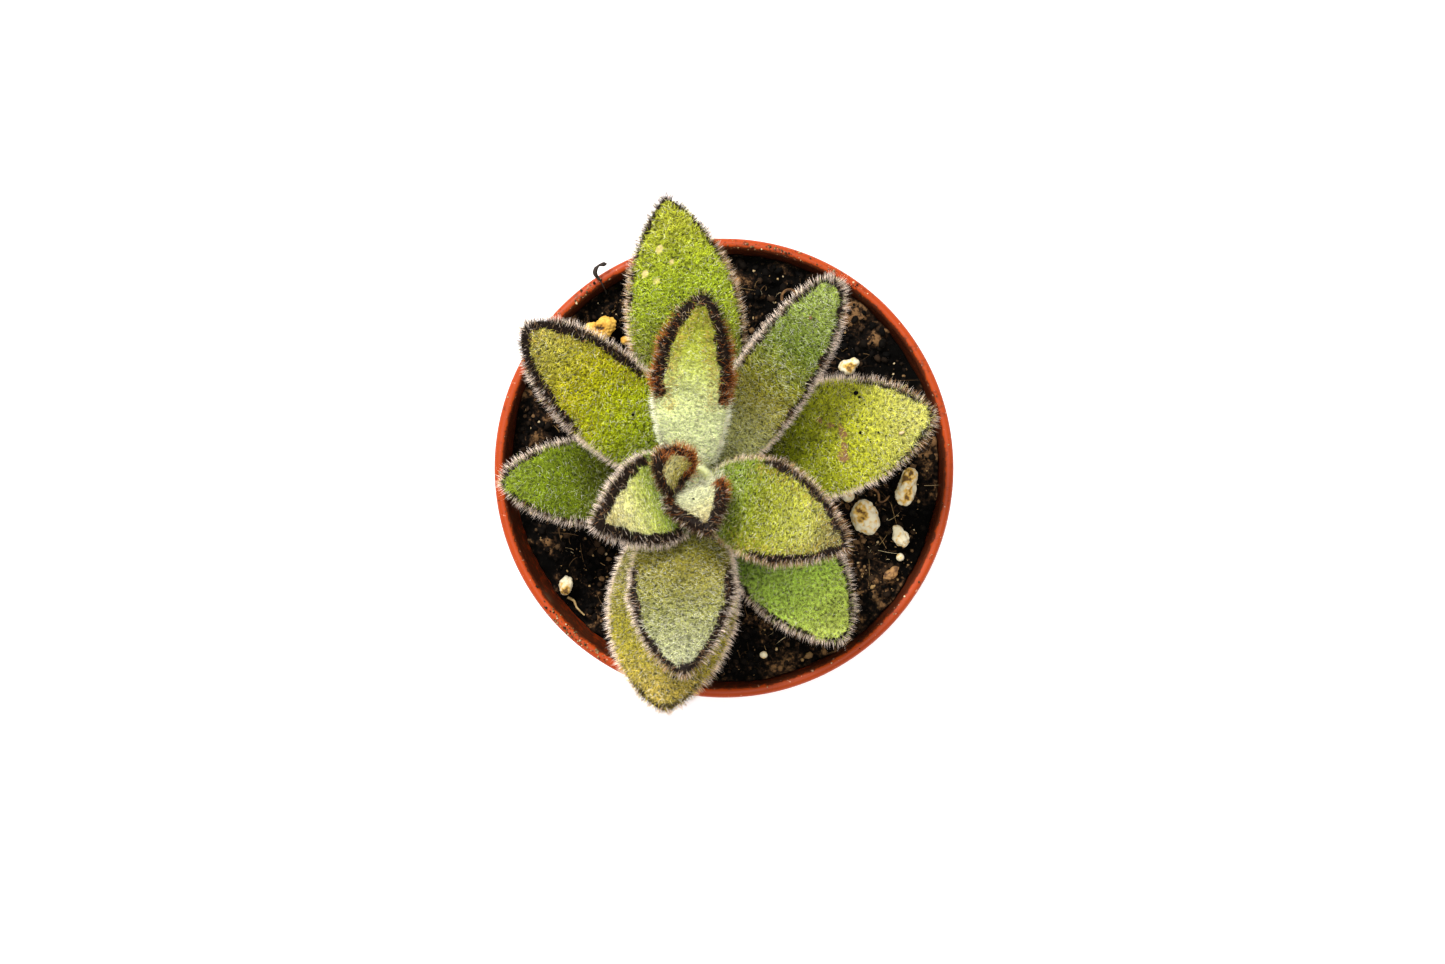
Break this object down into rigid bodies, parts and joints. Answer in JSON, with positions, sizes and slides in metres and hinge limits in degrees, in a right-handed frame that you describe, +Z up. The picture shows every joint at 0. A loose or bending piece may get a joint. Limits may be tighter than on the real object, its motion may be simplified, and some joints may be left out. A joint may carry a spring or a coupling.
{
  "type": "potted kalanchoe",
  "caption": "Small felt-leaved succulent with brown-edged leaves, growing from dark soil in a round tapered plastic nursery pot with a rolled lip.",
  "frame": {"origin": "middle of the pot's underside, where it meets the table", "axes": "+Z up along the pot's axis; +X to the plant's right and +Y to its back, with the longest leaf reaching towards +Y"},
  "size_m": [0.055, 0.0576, 0.0775],
  "materials": {
    "pot_plastic": "moulded terracotta-coloured polypropylene, satin, dusted with soil at the rim",
    "peat_soil": "loose dark peat with brown crumbs and fibres",
    "stem_felt": "pale green stem under dense white hairs",
    "leaf_felt": "thick green leaf under a felt of short white hairs, dark brown hairs along its edge",
    "leaf_felt_dark": "thick darker green leaf under a felt of short white hairs, dark brown hairs along its edge",
    "bud_felt": "young leaf, pale cream-green inside, with dense dark brown and rust hairs along its edge",
    "perlite_white": "expanded volcanic glass grain, matt white, pitted",
    "perlite_stained": "perlite grain stained yellow",
    "bark": "dry bark and husk, matt",
    "root_fibre": "dry root fibre, matt"
  },
  "bodies": {
    "root": {"pot": "pot_plastic", "soil": "peat_soil", "stem": "stem_felt", "leaf_front_right": "leaf_felt", "leaf_left_outer": "leaf_felt_dark", "leaf_right_outer": "leaf_felt", "leaf_back_outer": "leaf_felt", "leaf_front_outer": "leaf_felt", "leaf_back_right": "leaf_felt_dark", "leaf_back_left": "leaf_felt", "leaf_back_inner": "leaf_felt", "leaf_front_inner": "leaf_felt", "leaf_right_inner": "leaf_felt", "leaf_left_inner": "leaf_felt", "leaf_bud_front": "bud_felt", "leaf_bud_back": "bud_felt", "perlite_large": "perlite_white", "perlite_small": "perlite_white", "perlite_twin": "perlite_white", "perlite_pointed": "perlite_white", "perlite_bead": "perlite_white", "perlite_front_left": "perlite_white", "perlite_front": "perlite_white", "perlite_yellow": "perlite_stained", "perlite_yellow_chip": "perlite_stained", "seed_husk": "bark", "perlite_back_right": "bark", "bark_chip": "bark", "twig_over_rim": "bark", "root_curl": "root_fibre", "root_snake": "root_fibre", "root_cream": "root_fibre"}
  },
  "joints": []
}
